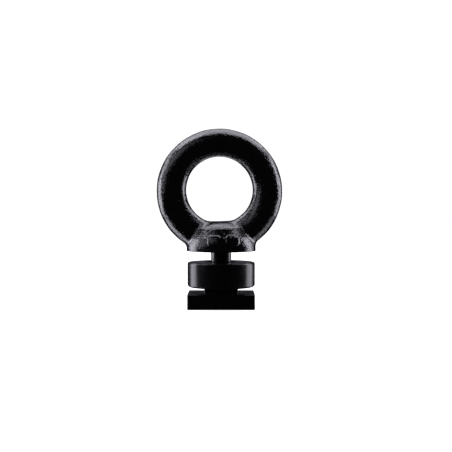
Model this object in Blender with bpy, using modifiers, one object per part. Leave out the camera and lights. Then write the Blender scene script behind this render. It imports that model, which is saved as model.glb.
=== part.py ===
"""Rail lashing eye: a forged M8 eye bolt, a round spacer and a T-shaped channel nut.

Blender 4.5, metres, +Z up. The origin is the middle of the channel nut's underside. The eye bolt
stands on +Z, its ring lies in the XZ plane, and the channel that the nut slides in runs along Y.
"""

import math

import bmesh
import bpy

MM = 0.001

# Thread: M8 x 1.25, right-handed. The flanks stand 30 degrees off the plane across the axis.
PITCH = 1.25 * MM
FLANK_SLOPE = math.tan(math.radians(30))
BOLT_CREST_RADIUS = 3.95 * MM
BOLT_ROOT_RADIUS = 3.20 * MM
BOLT_ROOT_FLAT = 0.22 * MM
NUT_CREST_RADIUS = 3.35 * MM
NUT_ROOT_RADIUS = 4.15 * MM
FLANK_PLAY = 0.115 * MM
THREAD_STEPS = 24

# Channel nut: wings that grip under the channel's lips, and a tenon between the lips.
NUT_WIDTH = 19.25 * MM
NUT_LENGTH = 13.6 * MM
WING_THICKNESS = 4.18 * MM
TENON_WIDTH = 9.55 * MM
NUT_HEIGHT = 5.9 * MM
NUT_EDGE_BREAK = 0.18 * MM
NUT_COUNTERSINK = 4.2 * MM

# Spacer: a turned washer between the channel's lips and the eye bolt's base.
SPACER_BOTTOM = NUT_HEIGHT + 0.3 * MM
SPACER_TOP = 13.2 * MM
SPACER_RADIUS = 9.76 * MM
SPACER_BORE_RADIUS = 4.3 * MM
SPACER_TOP_ROUND = 0.35 * MM
SPACER_FOOT_CHAMFER = 0.6 * MM
SPACER_BORE_CHAMFER = 0.4 * MM

# Eye bolt: the shank's heights are below the seat, which is the flat underside of the base.
SEAT_HEIGHT = 16.43 * MM
SHANK_LENGTH = 13.0 * MM
SHANK_CHAMFER = 0.8 * MM
NECK_RADIUS = 2.95 * MM
NECK_LENGTH = 3.35 * MM
NECK_CONE = 0.9 * MM
SHANK_EMBED = 1.0 * MM

# Eye bolt: a crowned cone stands on the base's short wall. Heights are above the seat.
BASE_RADIUS = 10.0 * MM
BASE_WALL = 2.3 * MM
BASE_EDGE_ROUND = 0.2 * MM
CROWN_HEIGHT = 8.55 * MM
CROWN_REACH = 7.8 * MM
CROWN_CURVE = 17.0 * MM
CROWN_STEPS = 5
ROUND_STEPS = 64

# Eye bolt: the ring is thinnest at its top and thickest where it meets the base.
RING_TOP = 51.78 * MM
RING_OUTER_RADIUS = 18.1 * MM
RING_HOLE_RADIUS = 9.57 * MM
RING_TAPER = 0.22 * MM
RING_STEPS = 60
RING_SECTION_STEPS = 16
RING_EMBED = 0.5 * MM

# Blank marking pads on the front and the back of the base.
PAD_WIDTH = 9.5 * MM
PAD_HEIGHT = 3.4 * MM
PAD_CENTRE = 2.9 * MM
PAD_SIDE_SHIFT = 0.5 * MM
PAD_RAISE = 0.2 * MM
PAD_CORNER_STEPS = 8


def clear_scene():
    for item in list(bpy.data.objects):
        bpy.data.objects.remove(item, do_unlink=True)


def make_collection(name):
    group = bpy.data.collections.new(name)
    bpy.context.scene.collection.children.link(group)
    return group


def painted_steel(name, colour, roughness, metallic):
    paint = bpy.data.materials.new(name)
    paint.use_nodes = True
    shader = paint.node_tree.nodes["Principled BSDF"]
    shader.inputs["Base Color"].default_value = (*colour, 1.0)
    shader.inputs["Roughness"].default_value = roughness
    shader.inputs["Metallic"].default_value = metallic
    return paint


def arc(centre_x, centre_z, radius, start, end, steps):
    """Points of a circular arc in the XZ plane, angles in degrees from +X towards +Z."""
    turn = (end - start) / steps
    angles = [math.radians(start + turn * step) for step in range(steps + 1)]
    return [(centre_x + radius * math.cos(a), centre_z + radius * math.sin(a)) for a in angles]


def outline_object(name, points, closed, collection):
    """A wire of straight edges in the XZ plane."""
    mesh = bpy.data.meshes.new(name)
    last = len(points) if closed else len(points) - 1
    edges = [(i, (i + 1) % len(points)) for i in range(last)]
    mesh.from_pydata([(x, 0.0, z) for x, z in points], edges, [])
    item = bpy.data.objects.new(name, mesh)
    collection.objects.link(item)
    return item


def turned(name, points, closed, steps, collection):
    """A solid of revolution about +Z from a profile that runs down its outer side."""
    item = outline_object(name, points, closed, collection)
    spin = item.modifiers.new("turn", "SCREW")
    spin.steps = steps
    spin.render_steps = steps
    spin.use_merge_vertices = True
    spin.merge_threshold = 1e-6
    return item


def baked(item):
    """Turn the evaluated object into plain mesh data: its modifiers or its curve are used up."""
    bpy.context.view_layer.update()
    graph = bpy.context.evaluated_depsgraph_get()
    mesh = bpy.data.meshes.new_from_object(item.evaluated_get(graph), depsgraph=graph)
    solid = bpy.data.objects.new(item.name, mesh)
    solid.matrix_world = item.matrix_world.copy()
    for group in item.users_collection:
        group.objects.link(solid)
    name = item.name
    bpy.data.objects.remove(item, do_unlink=True)
    solid.name = name
    mesh.name = name
    return solid


def tidied(item, merge_distance):
    """Weld the points that coincide and turn every face outwards."""
    work = bmesh.new()
    work.from_mesh(item.data)
    bmesh.ops.remove_doubles(work, verts=work.verts, dist=merge_distance)
    bmesh.ops.dissolve_degenerate(work, edges=work.edges, dist=merge_distance)
    open_edges = [edge for edge in work.edges if edge.is_boundary]
    bmesh.ops.holes_fill(work, edges=open_edges, sides=0)
    bmesh.ops.recalc_face_normals(work, faces=work.faces)
    work.to_mesh(item.data)
    work.free()
    return item


def combine(target, operand, operation):
    cut = target.modifiers.new(operand.name, "BOOLEAN")
    cut.operation = operation
    cut.object = operand
    return target


def hide_cutter(item):
    item.hide_render = True
    item.display_type = "WIRE"


def thread_sweep(name, inner, outer, half_inner, half_outer, start, end, collection):
    """The solid swept along the helix by a four-cornered section, inner and outer being radii."""
    section = [
        (outer, half_outer),
        (outer, -half_outer),
        (inner, -half_inner),
        (inner, half_inner),
    ]
    sweep = outline_object(name, section, True, collection)
    spin = sweep.modifiers.new("helix", "SCREW")
    spin.steps = THREAD_STEPS
    spin.render_steps = THREAD_STEPS
    spin.screw_offset = PITCH
    spin.iterations = math.ceil((end - start) / PITCH)
    sweep = tidied(baked(sweep), 1e-7)
    sweep.location.z = start
    hide_cutter(sweep)
    return sweep


def stadium_prism(name, width, height, depth, collection):
    """A flat bar with round ends, in the XZ plane, extruded along Y about its middle."""
    radius = height / 2
    reach = width / 2 - radius
    outline = arc(reach, 0, radius, -90, 90, PAD_CORNER_STEPS)
    outline += arc(-reach, 0, radius, 90, 270, PAD_CORNER_STEPS)
    return extruded(name, outline, depth, collection)


def extruded(name, outline, depth, collection):
    """A closed XZ outline given thickness along Y."""
    curve = bpy.data.curves.new(name, "CURVE")
    curve.dimensions = "2D"
    curve.fill_mode = "BOTH"
    curve.extrude = depth / 2
    spline = curve.splines.new("POLY")
    spline.points.add(len(outline) - 1)
    for point, (x, z) in zip(spline.points, outline):
        point.co = (x, z, 0.0, 1.0)
    spline.use_cyclic_u = True
    item = bpy.data.objects.new(name, curve)
    item.rotation_euler.x = math.radians(90)
    collection.objects.link(item)
    return tidied(baked(item), 1e-7)


def bevel_outer_edges(item, width):
    """Break only the edges that stick out, so that the corners under the wings stay square."""
    work = bmesh.new()
    work.from_mesh(item.data)
    flat = math.radians(1)
    bmesh.ops.dissolve_limit(work, angle_limit=flat, verts=work.verts, edges=work.edges)
    weight = work.edges.layers.float.new("bevel_weight_edge")
    for edge in work.edges:
        edge[weight] = 1.0 if edge.is_convex else 0.0
    work.to_mesh(item.data)
    work.free()
    bevel = item.modifiers.new("broken edges", "BEVEL")
    bevel.limit_method = "WEIGHT"
    bevel.width = width
    bevel.segments = 2


def make_channel_nut(parts, cutters, thread_start):
    half_width = NUT_WIDTH / 2
    half_tenon = TENON_WIDTH / 2
    outline = [
        (-half_width, 0.0),
        (half_width, 0.0),
        (half_width, WING_THICKNESS),
        (half_tenon, WING_THICKNESS),
        (half_tenon, NUT_HEIGHT),
        (-half_tenon, NUT_HEIGHT),
        (-half_tenon, WING_THICKNESS),
        (-half_width, WING_THICKNESS),
    ]
    nut = extruded("channel_nut", outline, NUT_LENGTH, parts)
    bevel_outer_edges(nut, NUT_EDGE_BREAK)

    # The tapping drill's hole, opened at both ends by a countersink.
    sink = NUT_COUNTERSINK - NUT_CREST_RADIUS
    past = PITCH
    hole_profile = [
        (0.0, NUT_HEIGHT + past),
        (NUT_COUNTERSINK + past, NUT_HEIGHT + past),
        (NUT_CREST_RADIUS, NUT_HEIGHT - sink),
        (NUT_CREST_RADIUS, sink),
        (NUT_COUNTERSINK + past, -past),
        (0.0, -past),
    ]
    hole = turned("nut_hole", hole_profile, False, THREAD_STEPS, cutters)
    hide_cutter(hole)
    combine(nut, hole, "DIFFERENCE")

    # The thread's groove is the bolt's ridge with some play on each flank.
    ridge_start = thread_start + PITCH / 2
    ridge_start -= PITCH * math.ceil((ridge_start + past) / PITCH)
    bolt_groove_at_crest = BOLT_ROOT_FLAT / 2 + (BOLT_CREST_RADIUS - BOLT_ROOT_RADIUS) * FLANK_SLOPE
    ridge_at_crest = PITCH / 2 - bolt_groove_at_crest
    inner = NUT_CREST_RADIUS - 0.08 * MM
    half_inner = ridge_at_crest + (BOLT_CREST_RADIUS - inner) * FLANK_SLOPE + FLANK_PLAY
    half_outer = ridge_at_crest + (BOLT_CREST_RADIUS - NUT_ROOT_RADIUS) * FLANK_SLOPE + FLANK_PLAY
    groove = thread_sweep("nut_thread", inner, NUT_ROOT_RADIUS, half_inner, half_outer,
                          ridge_start, NUT_HEIGHT + past, cutters)
    combine(nut, groove, "DIFFERENCE")
    return nut


def make_spacer(parts):
    """Heights in the profile are above the spacer's own underside, where its origin is."""
    height = SPACER_TOP - SPACER_BOTTOM
    top_round = SPACER_TOP_ROUND
    profile = [(SPACER_BORE_RADIUS + SPACER_BORE_CHAMFER, height)]
    profile += arc(SPACER_RADIUS - top_round, height - top_round, top_round, 90, 0, 4)
    profile += [
        (SPACER_RADIUS, SPACER_FOOT_CHAMFER),
        (SPACER_RADIUS - SPACER_FOOT_CHAMFER, 0.0),
        (SPACER_BORE_RADIUS + SPACER_BORE_CHAMFER, 0.0),
        (SPACER_BORE_RADIUS, SPACER_BORE_CHAMFER),
        (SPACER_BORE_RADIUS, height - SPACER_BORE_CHAMFER),
    ]
    spacer = turned("spacer", profile, True, ROUND_STEPS, parts)
    spacer.location.z = SPACER_BOTTOM
    return spacer


def make_shank(cutters, groove_start):
    """The neck and the threaded end, made about the world origin with the seat at SEAT_HEIGHT."""
    end = SEAT_HEIGHT - SHANK_LENGTH
    neck_end = SEAT_HEIGHT - NECK_LENGTH
    profile = [
        (0.0, SEAT_HEIGHT + SHANK_EMBED),
        (NECK_RADIUS, SEAT_HEIGHT + SHANK_EMBED),
        (NECK_RADIUS, neck_end),
        (BOLT_CREST_RADIUS, neck_end - NECK_CONE),
        (BOLT_CREST_RADIUS, end + SHANK_CHAMFER),
        (BOLT_CREST_RADIUS - SHANK_CHAMFER, end),
        (0.0, end),
    ]
    shank = turned("shank", profile, False, THREAD_STEPS, cutters)
    half_inner = BOLT_ROOT_FLAT / 2
    outer = BOLT_CREST_RADIUS + 0.08 * MM
    half_outer = half_inner + (outer - BOLT_ROOT_RADIUS) * FLANK_SLOPE
    groove = thread_sweep("shank_thread", BOLT_ROOT_RADIUS, outer, half_inner, half_outer,
                          groove_start, neck_end + PITCH / 2, cutters)
    combine(shank, groove, "DIFFERENCE")
    shank = tidied(baked(shank), 1e-6)
    hide_cutter(shank)
    return shank


def base_profile(raised):
    """The base's turned outline in world heights, its sides moved out by raised."""
    crown_top = SEAT_HEIGHT + CROWN_HEIGHT
    crown_end = math.degrees(math.acos(CROWN_REACH / CROWN_CURVE))
    profile = arc(0.0, crown_top - CROWN_CURVE, CROWN_CURVE, 90, crown_end, CROWN_STEPS)
    profile[0] = (0.0, crown_top)
    crown_edge, crown_foot = profile[-1]
    profile[-1] = (crown_edge + raised, crown_foot)
    profile.append((BASE_RADIUS + raised, SEAT_HEIGHT + BASE_WALL))
    edge = BASE_EDGE_ROUND
    profile += arc(BASE_RADIUS + raised - edge, SEAT_HEIGHT + edge, edge, 0, -90, 3)
    profile.append((0.0, SEAT_HEIGHT))
    return profile


def make_ring(cutters):
    """A bent bar that is swept round a circle and thickens towards the base."""
    path_radius = (RING_OUTER_RADIUS + RING_HOLE_RADIUS) / 2
    bar_radius = (RING_OUTER_RADIUS - RING_HOLE_RADIUS) / 2
    path_centre = RING_TOP - RING_OUTER_RADIUS + RING_TAPER
    curve = bpy.data.curves.new("ring", "CURVE")
    curve.dimensions = "3D"
    curve.bevel_depth = bar_radius
    curve.bevel_resolution = RING_SECTION_STEPS // 2 - 2
    spline = curve.splines.new("POLY")
    spline.points.add(RING_STEPS - 1)
    for step, point in enumerate(spline.points):
        angle = math.tau * step / RING_STEPS
        point.co = (path_radius * math.sin(angle), 0.0, path_centre + path_radius * math.cos(angle), 1.0)
        point.radius = 1 - RING_TAPER / bar_radius * math.cos(angle)
    spline.use_cyclic_u = True
    ring = bpy.data.objects.new("ring", curve)
    cutters.objects.link(ring)
    ring = tidied(baked(ring), 1e-7)

    # The circle dips below the seat, so what lies under the base's solid is cut away.
    cut_height = SEAT_HEIGHT + RING_EMBED
    facing_profile = [
        (0.0, cut_height),
        (2 * BASE_RADIUS, cut_height),
        (2 * BASE_RADIUS, 0.0),
        (0.0, 0.0),
    ]
    facing = turned("ring_facing", facing_profile, False, THREAD_STEPS, cutters)
    hide_cutter(facing)
    combine(ring, facing, "DIFFERENCE")
    ring = baked(ring)
    hide_cutter(ring)
    return ring


def make_pad(name, side, cutters):
    """A blank raised panel that follows the base's round wall; side is -1 in front, 1 behind."""
    pad = turned(name, base_profile(PAD_RAISE), False, ROUND_STEPS, cutters)
    window = stadium_prism(name + "_window", PAD_WIDTH, PAD_HEIGHT, BASE_RADIUS, cutters)
    window.location = (-side * PAD_SIDE_SHIFT, side * BASE_RADIUS, SEAT_HEIGHT + PAD_CENTRE)
    hide_cutter(window)
    combine(pad, window, "INTERSECT")
    pad = baked(pad)
    hide_cutter(pad)
    return pad


def make_eye_bolt(parts, cutters, thread_start):
    eye = turned("eye_bolt", base_profile(0.0), False, ROUND_STEPS, parts)
    combine(eye, make_ring(cutters), "UNION")
    combine(eye, make_pad("front_pad", -1, cutters), "UNION")
    combine(eye, make_pad("back_pad", 1, cutters), "UNION")
    combine(eye, make_shank(cutters, thread_start), "UNION")
    eye = tidied(baked(eye), 1e-6)
    for vertex in eye.data.vertices:
        vertex.co.z -= SEAT_HEIGHT
    eye.location.z = SEAT_HEIGHT
    return eye


def finish(item, paint):
    item.data.materials.clear()
    item.data.materials.append(paint)
    item.data.shade_smooth()
    item.data.set_sharp_from_angle(angle=math.radians(35))


def main():
    clear_scene()
    parts = make_collection("rail_lashing_eye")
    cutters = make_collection("cutters")
    thread_start = SEAT_HEIGHT - SHANK_LENGTH - PITCH

    nut = tidied(baked(make_channel_nut(parts, cutters, thread_start)), 1e-6)
    spacer = baked(make_spacer(parts))
    eye = make_eye_bolt(parts, cutters, thread_start)

    finish(nut, painted_steel("coated_nut", (0.012, 0.012, 0.013), 0.42, 0.0))
    finish(spacer, painted_steel("satin_spacer", (0.010, 0.010, 0.012), 0.30, 0.0))
    finish(eye, painted_steel("forged_coat", (0.011, 0.011, 0.012), 0.36, 0.0))


main()
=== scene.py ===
"""The looks of the rail lashing eye: a forged eye bolt, a turned spacer and a channel nut.

Metres, +Z up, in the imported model's own frame. Every piece stands in for one CAD node and rides on
that node's body.
"""

import math

import bmesh
import bpy
import numpy as np
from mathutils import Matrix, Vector


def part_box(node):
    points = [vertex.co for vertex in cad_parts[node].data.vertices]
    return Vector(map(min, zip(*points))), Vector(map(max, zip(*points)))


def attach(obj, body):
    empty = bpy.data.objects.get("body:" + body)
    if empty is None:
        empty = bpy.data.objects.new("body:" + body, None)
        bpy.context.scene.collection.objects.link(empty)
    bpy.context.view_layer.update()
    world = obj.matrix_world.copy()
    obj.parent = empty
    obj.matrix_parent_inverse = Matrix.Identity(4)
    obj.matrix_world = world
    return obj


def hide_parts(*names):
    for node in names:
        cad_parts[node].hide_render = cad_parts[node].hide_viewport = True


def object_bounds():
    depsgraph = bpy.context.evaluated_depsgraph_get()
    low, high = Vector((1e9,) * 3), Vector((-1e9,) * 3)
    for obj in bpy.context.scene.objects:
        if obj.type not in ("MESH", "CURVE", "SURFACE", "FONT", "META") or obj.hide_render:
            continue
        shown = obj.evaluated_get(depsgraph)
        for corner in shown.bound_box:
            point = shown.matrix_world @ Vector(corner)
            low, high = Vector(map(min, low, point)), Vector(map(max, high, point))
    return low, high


MM = 0.001

# Points closer than this are one point. The finer one is for the threads' small faces.
WELD = 1e-6
FINE_WELD = 1e-7
SHARP_ANGLE = math.radians(25)

# Thread: M8 x 1.25, right-handed. The flanks stand 30 degrees off the plane across the axis.
PITCH = 1.25 * MM
FLANK_SLOPE = math.tan(math.radians(30))
BOLT_CREST_RADIUS = 3.95 * MM
BOLT_ROOT_RADIUS = 3.20 * MM
BOLT_ROOT_FLAT = 0.22 * MM
NUT_CREST_RADIUS = 3.35 * MM
NUT_ROOT_RADIUS = 4.15 * MM
FLANK_PLAY = 0.115 * MM
THREAD_OVERCUT = 0.08 * MM
THREAD_STEPS = 60

# Shank: heights are below the seat, which is the flat underside of the base.
SHANK_LENGTH = 13.0 * MM
SHANK_EMBED = 1.0 * MM
SHANK_CHAMFER = 0.8 * MM
NECK_RADIUS = 2.95 * MM
NECK_LENGTH = 3.35 * MM
NECK_CONE = 0.9 * MM
NECK_FILLET = 0.35 * MM
NECK_FILLET_STEPS = 6

# Base: heights are above the seat. A flat and then a curved crown ends at CROWN_REACH. A rounded
# shoulder leads down to the wall, from SHOULDER_SLOPE degrees above level to SHOULDER_START.
BASE_RADIUS = 10.0 * MM
CROWN_HEIGHT = 8.55 * MM
CROWN_REACH = 7.8 * MM
CROWN_FLAT = 0.8 * MM
CROWN_CURVE = 12.6 * MM
EDGE_ROUND = 0.7 * MM
SHOULDER_CURVE = 6.5 * MM
SHOULDER_START = 0.9 * MM
SHOULDER_SLOPE = 27.0
SEAT_ROUND = 0.1 * MM
OUTLINE_STEPS = 6
OUTLINE_DEPTH = 2.3 * MM
FORGING_LEAN = math.radians(1.7)

# Ring: thinnest at its top. RING_DROP makes up for its lean, which moves its top.
RING_HOLE_RADIUS = 9.57 * MM
RING_TAPER = 0.22 * MM
RING_FILLET = 1.0 * MM
RING_DROP = 0.15 * MM

# Two blank pads on the front of the base and two on its back.
PAD_WIDTH = 3.9 * MM
PAD_HEIGHT = 3.3 * MM
PAD_CORNER = 1.1 * MM
PAD_CENTRE = 3.3 * MM
PAD_SPREAD = 2.6 * MM
PAD_SIDE_SHIFT = 0.75 * MM
PAD_RAISE = 0.22 * MM
PAD_SLOPE = 0.2 * MM
PAD_LEAST_DEPTH = BASE_RADIUS / 3

# The forging's mesh: a blank is remeshed in voxels and then drawn onto the exact surface.
BLANK_STEPS = 96
BLANK_RING_STEPS = (120, 32)
BLANK_WALL = 2.3 * MM
BLANK_CROWN_DROP = 2.0 * MM
RING_CUT_SIZE = (30 * MM, 30 * MM, 11 * MM)
RING_CUT_DROP = 5.0 * MM
SKIN_VOXEL = 0.18 * MM
RELAX_ROUNDS = 5
RELAX_SHARE = 0.5
SETTLE_ROUNDS = 4
SETTLE_LIMIT = 0.2 * MM
SLOPE_STEP = 0.01 * MM

# The forging's skin: slow dents and small pebbles, which fade out towards the seat.
DENT_DEPTH = 0.022 * MM
DENT_WAVES = (40, 4.0 * MM, 8.0 * MM)
DENT_SEED = 11
LUMP_DEPTH = 0.006 * MM
LUMP_WAVES = (90, 0.8 * MM, 1.6 * MM)
LUMP_SEED = 12
SKIN_FADE = 0.6 * MM

# Spacer: details that its CAD box doesn't give. Its foot comes SPACER_DROP below that box.
SPACER_BORE_RADIUS = 4.3 * MM
SPACER_TOP_ROUND = 0.42 * MM
SPACER_FOOT_CHAMFER = 0.5 * MM
SPACER_DROP = 0.15 * MM
SPACER_BORE_CHAMFER = 0.4 * MM
SPACER_ROUND_STEPS = 8
MICRO_ROUND = 0.08 * MM
MICRO_STEPS = 3
TURNED_STEPS = 192

# Nut: details that its CAD box doesn't give.
WING_THICKNESS = 4.38 * MM
TENON_WIDTH = 9.55 * MM
NUT_EDGE_BREAK = 0.2 * MM
NUT_COUNTERSINK = 4.2 * MM

# Coats: one glossy paint on all three pieces, duller on the machined ones. Scales are in cells a
# metre, a pair of roughnesses is the least and the most, and depths are how far the bumps rise.
COAT_IOR = 1.7
NOISE_RANGE = (0.3, 0.7)
FORGED_SPECULAR = 0.8
FORGED_ROUGHNESS = (0.07, 0.17)
PEBBLE_SCALE = 2600.0
PEBBLE_DEPTH = 0.07 * MM
PIMPLE_SCALE = 1250.0
PIMPLE_REACH = 0.24
PIMPLE_DEPTH = 0.045 * MM
FORGED_GRAIN_DEPTH = 0.012 * MM
TURNED_SPECULAR = 0.4
TURNED_GRAIN_DEPTH = 0.003 * MM
GROOVES_ACROSS = 9000.0
GROOVES_ALONG = 120.0
SHANK_ROUGHNESS = (0.18, 0.28)
SHANK_GROOVE_DEPTH = 0.006 * MM
SPACER_ROUGHNESS = (0.20, 0.28)
SPACER_GROOVE_DEPTH = 0.004 * MM
NUT_SPECULAR = 0.35
NUT_ROUGHNESS = (0.30, 0.44)
NUT_GRAIN_DEPTH = 0.005 * MM
BRUSH_SCALE = (260.0, 6000.0, 6000.0)
BRUSH_DEPTH = 0.006 * MM

# Studio and camera.
BACKDROP_RADIUS = 1.5
BACKDROP_STRENGTH = 1.1
FLOOR_SIZE = 2.4
FLOOR_GAP = 0.02 * MM
FLOOR_WHITE = 0.85
LAMP_COLOUR = (0.97, 0.965, 1.07)
SKY_COLOUR = (0.9, 0.9, 1.1)
SKY_STRENGTH = 0.01
CAMERA_LENS = 77.15
CAMERA_SENSOR = 36.0
CAMERA_PLACE = (1.39 * MM, -279.6 * MM, 32.5 * MM)
CAMERA_DIP = 1.826


# ---------------------------------------------------------------- mesh helpers


def link(item):
    bpy.context.scene.collection.objects.link(item)
    return item


def arc(centre_x, centre_z, radius, start, end, steps):
    """Points of a circular arc in the XZ plane, angles in degrees from +X towards +Z."""
    turn = (end - start) / steps
    angles = [math.radians(start + turn * step) for step in range(steps + 1)]
    return [(centre_x + radius * math.cos(a), centre_z + radius * math.sin(a)) for a in angles]


def outline_object(name, points, closed):
    """A wire of straight edges in the XZ plane."""
    mesh = bpy.data.meshes.new(name)
    last = len(points) if closed else len(points) - 1
    edges = [(i, (i + 1) % len(points)) for i in range(last)]
    mesh.from_pydata([(x, 0.0, z) for x, z in points], edges, [])
    return link(bpy.data.objects.new(name, mesh))


def turned(name, points, closed, steps):
    """A solid of revolution about +Z from a profile that runs down its outer side."""
    item = outline_object(name, points, closed)
    spin = item.modifiers.new("turn", "SCREW")
    spin.steps = steps
    spin.render_steps = steps
    spin.use_merge_vertices = True
    spin.merge_threshold = WELD
    return baked(item)


def baked(item):
    """Apply everything on an object, so that plain mesh data is left."""
    bpy.context.view_layer.update()
    graph = bpy.context.evaluated_depsgraph_get()
    mesh = bpy.data.meshes.new_from_object(item.evaluated_get(graph), depsgraph=graph)
    mesh.transform(item.matrix_world)
    name = item.name
    bpy.data.objects.remove(item, do_unlink=True)
    solid = link(bpy.data.objects.new(name, mesh))
    mesh.name = name
    return solid


def tidied(item, merge_distance):
    """Weld coinciding points, close open ends and turn every face outwards."""
    work = bmesh.new()
    work.from_mesh(item.data)
    bmesh.ops.remove_doubles(work, verts=work.verts, dist=merge_distance)
    bmesh.ops.dissolve_degenerate(work, edges=work.edges, dist=merge_distance)
    open_edges = [edge for edge in work.edges if edge.is_boundary]
    bmesh.ops.holes_fill(work, edges=open_edges, sides=0)
    bmesh.ops.recalc_face_normals(work, faces=work.faces)
    work.to_mesh(item.data)
    work.free()
    return item


def boolean(target, operand, operation):
    """Combine two closed meshes and use up the operand."""
    cut = target.modifiers.new("cut", "BOOLEAN")
    cut.operation = operation
    cut.object = operand
    result = baked(target)
    bpy.data.objects.remove(operand, do_unlink=True)
    return tidied(result, WELD)


def thread_sweep(name, inner, outer, half_inner, half_outer, start, end):
    """The solid swept along the helix by a four-cornered section, inner and outer being radii."""
    section = [
        (outer, start + half_outer),
        (outer, start - half_outer),
        (inner, start - half_inner),
        (inner, start + half_inner),
    ]
    sweep = outline_object(name, section, True)
    spin = sweep.modifiers.new("helix", "SCREW")
    spin.steps = THREAD_STEPS
    spin.render_steps = THREAD_STEPS
    spin.screw_offset = PITCH
    spin.iterations = math.ceil((end - start) / PITCH)
    return tidied(baked(sweep), FINE_WELD)


def shade(item):
    """Smooth faces, with sharp edges where they meet at more than SHARP_ANGLE."""
    item.data.shade_smooth()
    item.data.set_sharp_from_angle(angle=SHARP_ANGLE)


# ------------------------------------------------------------------- materials


def node(tree, kind, **values):
    item = tree.nodes.new(kind)
    for key, value in values.items():
        setattr(item, key, value)
    return item


def noise_texture(tree, vector, scale, detail, roughness):
    """Noise with about that many cells a unit of the vector, which is a metre in plain space."""
    noise = node(tree, "ShaderNodeTexNoise")
    noise.inputs["Scale"].default_value = scale
    noise.inputs["Detail"].default_value = detail
    noise.inputs["Roughness"].default_value = roughness
    tree.links.new(vector, noise.inputs["Vector"])
    return noise.outputs["Fac"]


def mapped(tree, value, low, high):
    """Stretch a noise's usual range over low to high."""
    spread = node(tree, "ShaderNodeMapRange")
    spread.inputs["From Min"].default_value = NOISE_RANGE[0]
    spread.inputs["From Max"].default_value = NOISE_RANGE[1]
    spread.inputs["To Min"].default_value = low
    spread.inputs["To Max"].default_value = high
    tree.links.new(value, spread.inputs["Value"])
    return spread.outputs["Result"]


def bump(tree, height, distance, below=None):
    """A normal for bumps that rise by distance, on top of the bumps below."""
    rise = node(tree, "ShaderNodeBump")
    rise.inputs["Strength"].default_value = 1.0
    rise.inputs["Distance"].default_value = distance
    tree.links.new(height, rise.inputs["Height"])
    if below is not None:
        tree.links.new(below, rise.inputs["Normal"])
    return rise.outputs["Normal"]


def coat(name, specular):
    """An empty black-coat material: its tree, its shader and its object coordinates."""
    paint = bpy.data.materials.new(name)
    paint.use_nodes = True
    tree = paint.node_tree
    shader = tree.nodes["Principled BSDF"]
    shader.inputs["Metallic"].default_value = 0.0
    shader.inputs["IOR"].default_value = COAT_IOR
    shader.inputs["Specular IOR Level"].default_value = specular
    place = node(tree, "ShaderNodeTexCoord").outputs["Object"]
    return paint, tree, shader, place


def blotched(tree, shader, patches, dark, light):
    """Give the base colour slow blotches between two tones."""
    mix = node(tree, "ShaderNodeMix", data_type="RGBA")
    mix.inputs["A"].default_value = (*dark, 1.0)
    mix.inputs["B"].default_value = (*light, 1.0)
    tree.links.new(mapped(tree, patches, 0.0, 1.0), mix.inputs["Factor"])
    tree.links.new(mix.outputs["Result"], shader.inputs["Base Color"])


def pimples(tree, place):
    """Sparse round bumps, about 0.4 mm across and 0.8 mm apart."""
    cells = node(tree, "ShaderNodeTexVoronoi")
    cells.inputs["Scale"].default_value = PIMPLE_SCALE
    tree.links.new(place, cells.inputs["Vector"])
    dome = node(tree, "ShaderNodeMapRange", interpolation_type="SMOOTHSTEP")
    dome.inputs["From Min"].default_value = PIMPLE_REACH
    dome.inputs["From Max"].default_value = 0.0
    tree.links.new(cells.outputs["Distance"], dome.inputs["Value"])
    return dome.outputs["Result"]


def forged_coat():
    """Semi-gloss black over a pebbled forging skin."""
    paint, tree, shader, place = coat("forged_coat", FORGED_SPECULAR)
    patches = noise_texture(tree, place, scale=300.0, detail=4.0, roughness=0.6)
    blotched(tree, shader, patches, dark=(0.001, 0.001, 0.0012), light=(0.005, 0.005, 0.006))
    sparkle = noise_texture(tree, place, scale=PEBBLE_SCALE, detail=0.0, roughness=0.5)
    tree.links.new(mapped(tree, sparkle, *FORGED_ROUGHNESS), shader.inputs["Roughness"])
    pebbles = noise_texture(tree, place, scale=PEBBLE_SCALE, detail=1.0, roughness=0.5)
    grain = noise_texture(tree, place, scale=4200.0, detail=1.0, roughness=0.6)
    skin = bump(tree, pebbles, PEBBLE_DEPTH)
    skin = bump(tree, pimples(tree, place), PIMPLE_DEPTH, skin)
    tree.links.new(bump(tree, grain, FORGED_GRAIN_DEPTH, skin), shader.inputs["Normal"])
    return paint


def turned_coordinates(tree, place):
    """Coordinates that vary fast across a lathe's grooves and slowly along them."""
    split = node(tree, "ShaderNodeSeparateXYZ")
    tree.links.new(place, split.inputs["Vector"])
    flat = node(tree, "ShaderNodeCombineXYZ")
    tree.links.new(split.outputs["X"], flat.inputs["X"])
    tree.links.new(split.outputs["Y"], flat.inputs["Y"])
    radius = node(tree, "ShaderNodeVectorMath", operation="LENGTH")
    tree.links.new(flat.outputs["Vector"], radius.inputs[0])
    joined = node(tree, "ShaderNodeCombineXYZ")
    tree.links.new(radius.outputs["Value"], joined.inputs["X"])
    tree.links.new(split.outputs["Z"], joined.inputs["Y"])
    fast = node(tree, "ShaderNodeVectorMath", operation="SCALE")
    fast.inputs["Scale"].default_value = GROOVES_ACROSS
    tree.links.new(joined.outputs["Vector"], fast.inputs[0])
    slow = node(tree, "ShaderNodeVectorMath", operation="SCALE")
    slow.inputs["Scale"].default_value = GROOVES_ALONG
    tree.links.new(flat.outputs["Vector"], slow.inputs[0])
    both = node(tree, "ShaderNodeVectorMath", operation="ADD")
    tree.links.new(fast.outputs["Vector"], both.inputs[0])
    tree.links.new(slow.outputs["Vector"], both.inputs[1])
    return both.outputs["Vector"]


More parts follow.
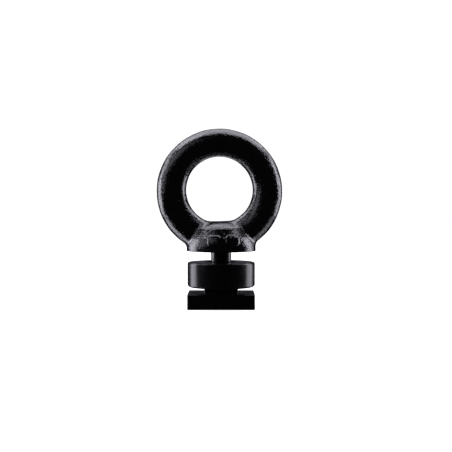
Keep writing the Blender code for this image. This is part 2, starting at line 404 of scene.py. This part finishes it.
def turned_coat(name, roughness, groove_depth):
    """Satin black over fine lathe grooves."""
    paint, tree, shader, place = coat(name, TURNED_SPECULAR)
    patches = noise_texture(tree, place, scale=180.0, detail=3.0, roughness=0.55)
    blotched(tree, shader, patches, dark=(0.005, 0.005, 0.006), light=(0.010, 0.010, 0.012))
    tree.links.new(mapped(tree, patches, *roughness), shader.inputs["Roughness"])
    lathed = turned_coordinates(tree, place)
    grooves = noise_texture(tree, lathed, scale=1.0, detail=2.0, roughness=0.5)
    grain = noise_texture(tree, place, scale=3500.0, detail=2.0, roughness=0.6)
    lathe = bump(tree, grooves, groove_depth)
    tree.links.new(bump(tree, grain, TURNED_GRAIN_DEPTH, lathe), shader.inputs["Normal"])
    return paint


def brushed_coat():
    """Satin black over faint brush marks that run across the channel."""
    paint, tree, shader, place = coat("nut_coat", NUT_SPECULAR)
    patches = noise_texture(tree, place, scale=220.0, detail=3.0, roughness=0.55)
    blotched(tree, shader, patches, dark=(0.005, 0.005, 0.006), light=(0.012, 0.012, 0.013))
    tree.links.new(mapped(tree, patches, *NUT_ROUGHNESS), shader.inputs["Roughness"])
    stretch = node(tree, "ShaderNodeMapping")
    stretch.inputs["Scale"].default_value = BRUSH_SCALE
    tree.links.new(place, stretch.inputs["Vector"])
    marks = noise_texture(tree, stretch.outputs["Vector"], scale=1.0, detail=2.0, roughness=0.5)
    grain = noise_texture(tree, place, scale=3000.0, detail=3.0, roughness=0.6)
    brushed = bump(tree, marks, BRUSH_DEPTH)
    tree.links.new(bump(tree, grain, NUT_GRAIN_DEPTH, brushed), shader.inputs["Normal"])
    return paint


def put_on(item, paint, body, cad_node):
    """Paint a piece, put it on the body it rides on and hide the CAD node it stands for."""
    item.data.materials.clear()
    item.data.materials.append(paint)
    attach(item, body)
    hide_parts(cad_node)


# --------------------------------------------------------- the forging's shape


def smooth_union(one, other, width):
    """The nearer of two distances, with a fillet of about that width where they meet."""
    overlap = np.maximum(width - np.abs(one - other), 0.0) / width
    return np.minimum(one, other) - overlap * overlap * width / 4


def smooth_step(value):
    value = np.clip(value, 0.0, 1.0)
    return value * value * (3 - 2 * value)


def outline_distance(across, up, corners):
    """Signed distance in a plane to a closed outline, negative inside it."""
    nearest = np.full(across.shape, np.inf)
    inside = np.zeros(across.shape, bool)
    for (ax, ay), (bx, by) in zip(corners, corners[1:] + corners[:1]):
        ex, ey = bx - ax, by - ay
        share = np.clip(((across - ax) * ex + (up - ay) * ey) / (ex * ex + ey * ey), 0.0, 1.0)
        nearest = np.minimum(nearest, np.hypot(across - ax - share * ex, up - ay - share * ey))
        if by != ay:
            crosses = (ay > up) != (by > up)
            inside ^= crosses & (across < ax + (up - ay) * ex / ey)
    return np.where(inside, -nearest, nearest)


def waves(points, count, shortest, longest, seed):
    """Smooth noise of about unit size: plane waves in fixed pseudo-random directions."""
    draw = np.random.default_rng(seed)
    directions = draw.normal(size=(count, 3))
    directions /= np.linalg.norm(directions, axis=1)[:, None]
    lengths = draw.uniform(shortest, longest, count)
    phases = draw.uniform(0.0, math.tau, count)
    total = np.zeros(len(points))
    for direction, length, phase in zip(directions, lengths, phases):
        total += np.sin(points @ direction * (math.tau / length) + phase)
    return total * math.sqrt(2 / count)


class Forging:
    """The signed distance to the forged part of the eye bolt: ring, base and blank pads."""

    def __init__(self, low, high):
        self.seat = low.z + SHANK_LENGTH
        self.outer = (high.x - low.x) / 2
        self.bar = (self.outer - RING_HOLE_RADIUS) / 2
        self.path = (self.outer + RING_HOLE_RADIUS) / 2
        self.centre = high.z - self.outer + RING_TAPER - RING_DROP
        # The outline is drawn inside by the corner radius and grown back, which rounds it. It
        # runs below the seat, where the plane of the seat cuts it off.
        inset = EDGE_ROUND
        crown_radius = CROWN_CURVE - inset
        crown_end = math.degrees(math.acos((CROWN_REACH - inset - CROWN_FLAT) / crown_radius))
        crown_middle = CROWN_HEIGHT - CROWN_CURVE
        crown = arc(CROWN_FLAT, crown_middle, crown_radius, 90, crown_end, OUTLINE_STEPS)
        shoulder_radius = SHOULDER_CURVE - inset
        shoulder_middle = BASE_RADIUS - SHOULDER_CURVE
        shoulder = arc(
            shoulder_middle, SHOULDER_START, shoulder_radius, SHOULDER_SLOPE, 0.0, OUTLINE_STEPS
        )
        self.corners = crown + shoulder + [
            (BASE_RADIUS - inset, -OUTLINE_DEPTH),
            (-BASE_RADIUS, -OUTLINE_DEPTH),
            (-BASE_RADIUS, CROWN_HEIGHT - inset),
        ]

    def ring(self, points):
        """The distance to the ring, whose bar is thinner at the top than at the bottom."""
        side, depth, up = points[:, 0], points[:, 1], points[:, 2] - self.centre
        around = np.hypot(side, up)
        bar = self.bar - RING_TAPER * up / np.maximum(around, 1e-6)
        return np.hypot(around - self.path, depth) - bar

    def pad(self, points):
        """How far the pads stand out: 0 at their outlines, PAD_RAISE from PAD_SLOPE inside."""
        front = np.where(points[:, 1] < 0, 1.0, -1.0)
        across = points[:, 0] * front - PAD_SIDE_SHIFT
        up = points[:, 2] - self.seat - PAD_CENTRE
        beside = np.abs(np.abs(across) - PAD_SPREAD) - (PAD_WIDTH / 2 - PAD_CORNER)
        above = np.abs(up) - (PAD_HEIGHT / 2 - PAD_CORNER)
        edge = np.hypot(np.maximum(beside, 0.0), np.maximum(above, 0.0)) - PAD_CORNER
        facing = np.abs(points[:, 1]) > PAD_LEAST_DEPTH
        return PAD_RAISE * smooth_step(-edge / PAD_SLOPE) * facing

    def base(self, points):
        """The distance to the turned base, brought nearer where a pad stands out."""
        radius = np.hypot(points[:, 0], points[:, 1])
        plain = outline_distance(radius, points[:, 2] - self.seat, self.corners) - EDGE_ROUND
        return plain - self.pad(points)

    def distance(self, points):
        """The distance to the whole forging, which leans a little and is cut off at the seat."""
        lean_cos, lean_sin = math.cos(FORGING_LEAN), math.sin(FORGING_LEAN)
        side, up = points[:, 0], points[:, 2] - self.seat
        leaning = points.copy()
        leaning[:, 0] = side * lean_cos + up * lean_sin
        leaning[:, 2] = up * lean_cos - side * lean_sin + self.seat
        body = smooth_union(self.ring(leaning), self.base(leaning), RING_FILLET)
        return -smooth_union(-body, points[:, 2] - self.seat, SEAT_ROUND)

    def gradient(self, points):
        """Unit vectors that point straight out of the surface."""
        slopes = np.empty_like(points)
        for axis in range(3):
            shift = np.zeros(3)
            shift[axis] = SLOPE_STEP
            slopes[:, axis] = self.distance(points + shift) - self.distance(points - shift)
        return slopes / np.maximum(np.linalg.norm(slopes, axis=1), 1e-12)[:, None]

    def settled(self, points, rounds):
        """Move the points onto the surface, at most SETTLE_LIMIT a round."""
        for _ in range(rounds):
            gap = np.clip(self.distance(points), -SETTLE_LIMIT, SETTLE_LIMIT)
            points = points - self.gradient(points) * gap[:, None]
        return points


def relaxed(points, edges, share):
    """Move each point part of the way to the middle of its neighbours."""
    count = np.bincount(edges.ravel(), minlength=len(points))
    middle = np.empty_like(points)
    for axis in range(3):
        total = np.bincount(edges[:, 0], points[edges[:, 1], axis], len(points))
        total += np.bincount(edges[:, 1], points[edges[:, 0], axis], len(points))
        middle[:, axis] = total / count
    return points + share * (middle - points)


def make_forging(low, high):
    """A voxel blank of the joined shapes, drawn onto the exact surface, then roughened."""
    shape = Forging(low, high)
    seat = shape.seat
    profile = [
        (0.0, seat + CROWN_HEIGHT),
        (CROWN_REACH, seat + CROWN_HEIGHT - BLANK_CROWN_DROP),
        (BASE_RADIUS, seat + BLANK_WALL),
        (BASE_RADIUS, seat),
        (0.0, seat),
    ]
    blank = turned("eye_forging", profile, False, BLANK_STEPS)
    bpy.ops.mesh.primitive_torus_add(
        major_segments=BLANK_RING_STEPS[0],
        minor_segments=BLANK_RING_STEPS[1],
        major_radius=shape.path,
        minor_radius=shape.bar,
        location=(0.0, 0.0, shape.centre),
        rotation=(math.pi / 2, 0.0, 0.0),
    )
    ring = baked(bpy.context.object)

    # The ring's circle dips below the seat, so what lies under the base is cut away.
    bpy.ops.mesh.primitive_cube_add(size=1.0, location=(0.0, 0.0, seat - RING_CUT_DROP))
    below = bpy.context.object
    below.scale = RING_CUT_SIZE
    ring = boolean(ring, baked(below), "DIFFERENCE")
    blank = boolean(blank, ring, "UNION")
    voxels = blank.modifiers.new("voxels", "REMESH")
    voxels.mode = "VOXEL"
    voxels.voxel_size = SKIN_VOXEL
    blank = baked(blank)

    mesh = blank.data
    points = np.empty(len(mesh.vertices) * 3)
    mesh.vertices.foreach_get("co", points)
    points = points.reshape(-1, 3)
    edges = np.empty(len(mesh.edges) * 2, int)
    mesh.edges.foreach_get("vertices", edges)
    edges = edges.reshape(-1, 2)
    for _ in range(RELAX_ROUNDS):
        points = shape.settled(relaxed(points, edges, RELAX_SHARE), 2)
    points = shape.settled(points, SETTLE_ROUNDS)

    outwards = shape.gradient(points)
    skin = DENT_DEPTH * waves(points, *DENT_WAVES, DENT_SEED)
    skin += LUMP_DEPTH * waves(points, *LUMP_WAVES, LUMP_SEED)
    skin *= smooth_step((points[:, 2] - seat) / SKIN_FADE)
    points = points + outwards * skin[:, None]
    mesh.vertices.foreach_set("co", points.ravel())
    mesh.update()
    mesh.shade_smooth()
    return blank


# -------------------------------------------------------- the machined pieces


def make_shank(low):
    """The neck and the thread, with a fillet where the neck leaves the seat."""
    end = low.z
    seat = end + SHANK_LENGTH
    neck_end = seat - NECK_LENGTH
    flare = NECK_RADIUS + NECK_FILLET
    profile = [(0.0, seat + SHANK_EMBED), (flare, seat + SHANK_EMBED)]
    profile += arc(flare, seat - NECK_FILLET, NECK_FILLET, 90, 180, NECK_FILLET_STEPS)
    profile += [
        (NECK_RADIUS, neck_end),
        (BOLT_CREST_RADIUS, neck_end - NECK_CONE),
        (BOLT_CREST_RADIUS, end + SHANK_CHAMFER),
        (BOLT_CREST_RADIUS - SHANK_CHAMFER, end),
        (0.0, end),
    ]
    shank = turned("eye_shank", profile, False, THREAD_STEPS)
    half_inner = BOLT_ROOT_FLAT / 2
    outer = BOLT_CREST_RADIUS + THREAD_OVERCUT
    half_outer = half_inner + (outer - BOLT_ROOT_RADIUS) * FLANK_SLOPE
    groove = thread_sweep("shank_groove", BOLT_ROOT_RADIUS, outer, half_inner, half_outer,
                          end - PITCH, neck_end + PITCH / 2)
    shank = boolean(shank, groove, "DIFFERENCE")
    shade(shank)
    return shank


def make_spacer(low, high):
    """The turned spacer, with a round top edge, a chamfered foot and a chamfered bore."""
    radius = (high.x - low.x) / 2
    top, foot = high.z, low.z - SPACER_DROP
    bore, chamfer, micro = SPACER_BORE_RADIUS, SPACER_BORE_CHAMFER, MICRO_ROUND
    profile = [(bore + chamfer, top)]
    rim = SPACER_TOP_ROUND
    profile += arc(radius - rim, top - rim, rim, 90, 0, SPACER_ROUND_STEPS)
    break_top = foot + SPACER_FOOT_CHAMFER + micro / 2
    profile += arc(radius - micro, break_top, micro, 0, -45, MICRO_STEPS)
    break_foot = radius - SPACER_FOOT_CHAMFER - micro / 2
    profile += arc(break_foot, foot + micro, micro, -45, -90, MICRO_STEPS)
    profile += [
        (bore + chamfer, foot),
        (bore, foot + chamfer),
        (bore, top - chamfer),
    ]
    spacer = turned("turned_spacer", profile, True, TURNED_STEPS)
    shade(spacer)
    return spacer


def make_nut(low, high, bolt_end):
    """The T-shaped nut with its outer edges broken, tapped to fit the bolt's thread."""
    half_width, half_length = (high.x - low.x) / 2, (high.y - low.y) / 2
    half_tenon = TENON_WIDTH / 2
    foot, wing, top = low.z, low.z + WING_THICKNESS, high.z
    outline = [
        (-half_width, foot),
        (half_width, foot),
        (half_width, wing),
        (half_tenon, wing),
        (half_tenon, top),
        (-half_tenon, top),
        (-half_tenon, wing),
        (-half_width, wing),
    ]
    work = bmesh.new()
    corners = [work.verts.new((x, -half_length, z)) for x, z in outline]
    front = work.faces.new(corners)
    grown = bmesh.ops.extrude_face_region(work, geom=[front])
    moved = [item for item in grown["geom"] if isinstance(item, bmesh.types.BMVert)]
    bmesh.ops.translate(work, verts=moved, vec=(0.0, 2 * half_length, 0.0))
    bmesh.ops.recalc_face_normals(work, faces=work.faces)
    broken = [edge for edge in work.edges if edge.is_convex]
    bmesh.ops.bevel(work, geom=broken, offset=NUT_EDGE_BREAK, segments=1, affect="EDGES")
    mesh = bpy.data.meshes.new("milled_nut")
    work.to_mesh(mesh)
    work.free()
    nut = link(bpy.data.objects.new("milled_nut", mesh))

    # The tapping drill's hole, opened at both ends by a countersink.
    sink = NUT_COUNTERSINK - NUT_CREST_RADIUS
    hole_profile = [
        (0.0, top + PITCH),
        (NUT_COUNTERSINK + PITCH, top + PITCH),
        (NUT_CREST_RADIUS, top - sink),
        (NUT_CREST_RADIUS, foot + sink),
        (NUT_COUNTERSINK + PITCH, foot - PITCH),
        (0.0, foot - PITCH),
    ]
    nut = boolean(nut, turned("nut_hole", hole_profile, False, THREAD_STEPS), "DIFFERENCE")

    # The thread's groove is the bolt's ridge with some play on each flank.
    ridge_start = bolt_end - PITCH / 2
    ridge_start -= PITCH * math.ceil((ridge_start - foot + PITCH) / PITCH)
    bolt_depth = BOLT_CREST_RADIUS - BOLT_ROOT_RADIUS
    ridge_at_crest = PITCH / 2 - (BOLT_ROOT_FLAT / 2 + bolt_depth * FLANK_SLOPE)
    inner = NUT_CREST_RADIUS - THREAD_OVERCUT
    half_inner = ridge_at_crest + (BOLT_CREST_RADIUS - inner) * FLANK_SLOPE + FLANK_PLAY
    half_outer = ridge_at_crest + (BOLT_CREST_RADIUS - NUT_ROOT_RADIUS) * FLANK_SLOPE + FLANK_PLAY
    groove = thread_sweep("nut_groove", inner, NUT_ROOT_RADIUS, half_inner, half_outer,
                          ridge_start, top + PITCH)
    nut = boolean(nut, groove, "DIFFERENCE")
    shade(nut)
    return nut


# ---------------------------------------------------------- studio and camera


def white_glow(name, strength):
    light = bpy.data.materials.new(name)
    light.use_nodes = True
    tree = light.node_tree
    tree.nodes.clear()
    emit = node(tree, "ShaderNodeEmission")
    emit.inputs["Color"].default_value = (1.0, 1.0, 1.0, 1.0)
    emit.inputs["Strength"].default_value = strength
    out = node(tree, "ShaderNodeOutputMaterial")
    tree.links.new(emit.outputs["Emission"], out.inputs["Surface"])
    return light


def seen_by_camera_only(item):
    item.visible_diffuse = False
    item.visible_glossy = False
    item.visible_transmission = False
    item.visible_volume_scatter = False
    item.visible_shadow = False


def make_backdrop():
    """A white dome all round, which only the camera sees."""
    bpy.ops.mesh.primitive_uv_sphere_add(segments=48, ring_count=24, radius=BACKDROP_RADIUS)
    dome = bpy.context.object
    dome.name = "backdrop"
    dome.data.materials.append(white_glow("backdrop_white", BACKDROP_STRENGTH))
    seen_by_camera_only(dome)


def make_floor(height):
    """A pale floor just under the nut. It takes a faint shadow and shows in no reflection."""
    bpy.ops.mesh.primitive_plane_add(size=FLOOR_SIZE, location=(0.0, 0.0, height - FLOOR_GAP))
    floor = bpy.context.object
    floor.name = "floor"
    paint = bpy.data.materials.new("floor_white")
    paint.use_nodes = True
    tree = paint.node_tree
    shader = tree.nodes["Principled BSDF"]
    shader.inputs["Base Color"].default_value = (FLOOR_WHITE, FLOOR_WHITE, FLOOR_WHITE, 1.0)
    shader.inputs["Roughness"].default_value = 1.0
    shader.inputs["Specular IOR Level"].default_value = 0.0
    shader.inputs["Emission Color"].default_value = (1.0, 1.0, 1.0, 1.0)
    shader.inputs["Emission Strength"].default_value = 1.0
    floor.data.materials.append(paint)
    seen_by_camera_only(floor)


def panel(name, target, heading, height, distance, width, tall, radiance):
    """A soft box turned to the target, distance away from it and width by tall metres in size.

    Its heading is in degrees from -Y, the camera's side, towards +X, and its height in degrees
    above level. Its radiance doesn't depend on its size.
    """
    turn, lift = math.radians(heading), math.radians(height)
    towards = Vector((
        math.sin(turn) * math.cos(lift),
        -math.cos(turn) * math.cos(lift),
        math.sin(lift),
    ))
    lamp = bpy.data.lights.new(name, "AREA")
    lamp.shape = "RECTANGLE"
    lamp.size = width
    lamp.size_y = tall
    lamp.energy = radiance * math.pi * width * tall
    lamp.color = LAMP_COLOUR
    item = link(bpy.data.objects.new(name, lamp))
    item.location = target + towards * distance
    item.rotation_euler = towards.to_track_quat("Z", "Y").to_euler()
    item.visible_camera = False


def make_studio(target):
    """Soft boxes above, behind and beside the object, and next to nothing in front of it."""
    # Name, target, heading, height, distance, width, tall, radiance.
    panel("top_box", target, 180, 83, 0.5, 1.0, 0.27, 2.1)
    panel("top_back_box", target, 180, 54, 0.6, 0.9, 0.30, 1.7)
    panel("back_glow", target, 180, 5, 0.8, 0.9, 0.14, 0.12)
    panel("left_box", target, -109, -5, 0.5, 0.27, 0.26, 3.1)
    panel("left_high_box", target, -104, 20, 0.5, 0.18, 0.24, 3.0)
    panel("left_top_box", target, -96, 58, 0.5, 0.22, 0.24, 1.1)
    panel("left_rear_box", target, -130, 35, 0.5, 0.22, 0.2, 1.5)
    panel("left_side_box", target, -72, 20, 0.5, 0.25, 0.28, 0.6)
    panel("left_front_box", target, -45, 38, 0.5, 0.25, 0.20, 0.35)
    panel("right_box", target, 112, -5, 0.5, 0.28, 0.26, 2.5)
    panel("right_high_box", target, 103, 20, 0.5, 0.22, 0.22, 3.4)
    panel("right_rear_box", target, 130, 35, 0.5, 0.22, 0.2, 1.5)
    panel("low_left_box", target, -103, -38, 0.5, 0.25, 0.25, 2.3)
    panel("low_right_box", target, 100, -38, 0.5, 0.25, 0.25, 0.9)
    panel("low_back_box", target, 180, -36, 0.5, 0.5, 0.22, 0.8)
    world = bpy.data.worlds.new("studio")
    world.use_nodes = True
    sky = world.node_tree.nodes["Background"]
    sky.inputs["Color"].default_value = (*SKY_COLOUR, 1.0)
    sky.inputs["Strength"].default_value = SKY_STRENGTH
    bpy.context.scene.world = world
    bpy.context.scene.view_settings.view_transform = "Standard"


def make_camera():
    """A short telephoto in front, level with the ring and looking slightly down."""
    view = bpy.data.cameras.new("camera")
    view.lens = CAMERA_LENS
    view.sensor_width = CAMERA_SENSOR
    camera = link(bpy.data.objects.new("camera", view))
    camera.location = CAMERA_PLACE
    camera.rotation_euler = (math.radians(90 - CAMERA_DIP), 0.0, 0.0)
    bpy.context.scene.camera = camera


# ------------------------------------------------------------------ the scene


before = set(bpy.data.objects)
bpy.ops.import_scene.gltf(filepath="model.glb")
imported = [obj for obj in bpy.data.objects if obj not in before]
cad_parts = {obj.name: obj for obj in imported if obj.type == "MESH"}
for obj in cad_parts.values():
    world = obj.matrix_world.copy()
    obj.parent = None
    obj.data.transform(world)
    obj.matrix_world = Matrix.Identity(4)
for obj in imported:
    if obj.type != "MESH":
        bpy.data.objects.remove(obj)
cad_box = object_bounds()
eye_low, eye_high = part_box("eye_bolt")
spacer_low, spacer_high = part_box("spacer")
nut_low, nut_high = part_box("channel_nut")

forging = make_forging(eye_low, eye_high)
put_on(forging, forged_coat(), "eye_bolt", "eye_bolt")
shank = make_shank(eye_low)
shank_coat = turned_coat("shank_coat", SHANK_ROUGHNESS, SHANK_GROOVE_DEPTH)
put_on(shank, shank_coat, "eye_bolt", "eye_bolt")
spacer = make_spacer(spacer_low, spacer_high)
spacer_coat = turned_coat("spacer_coat", SPACER_ROUGHNESS, SPACER_GROOVE_DEPTH)
put_on(spacer, spacer_coat, "spacer", "spacer")
nut = make_nut(nut_low, nut_high, eye_low.z)
put_on(nut, brushed_coat(), "channel_nut", "channel_nut")

make_backdrop()
make_floor(nut_low.z)
make_studio((cad_box[0] + cad_box[1]) / 2)
make_camera()
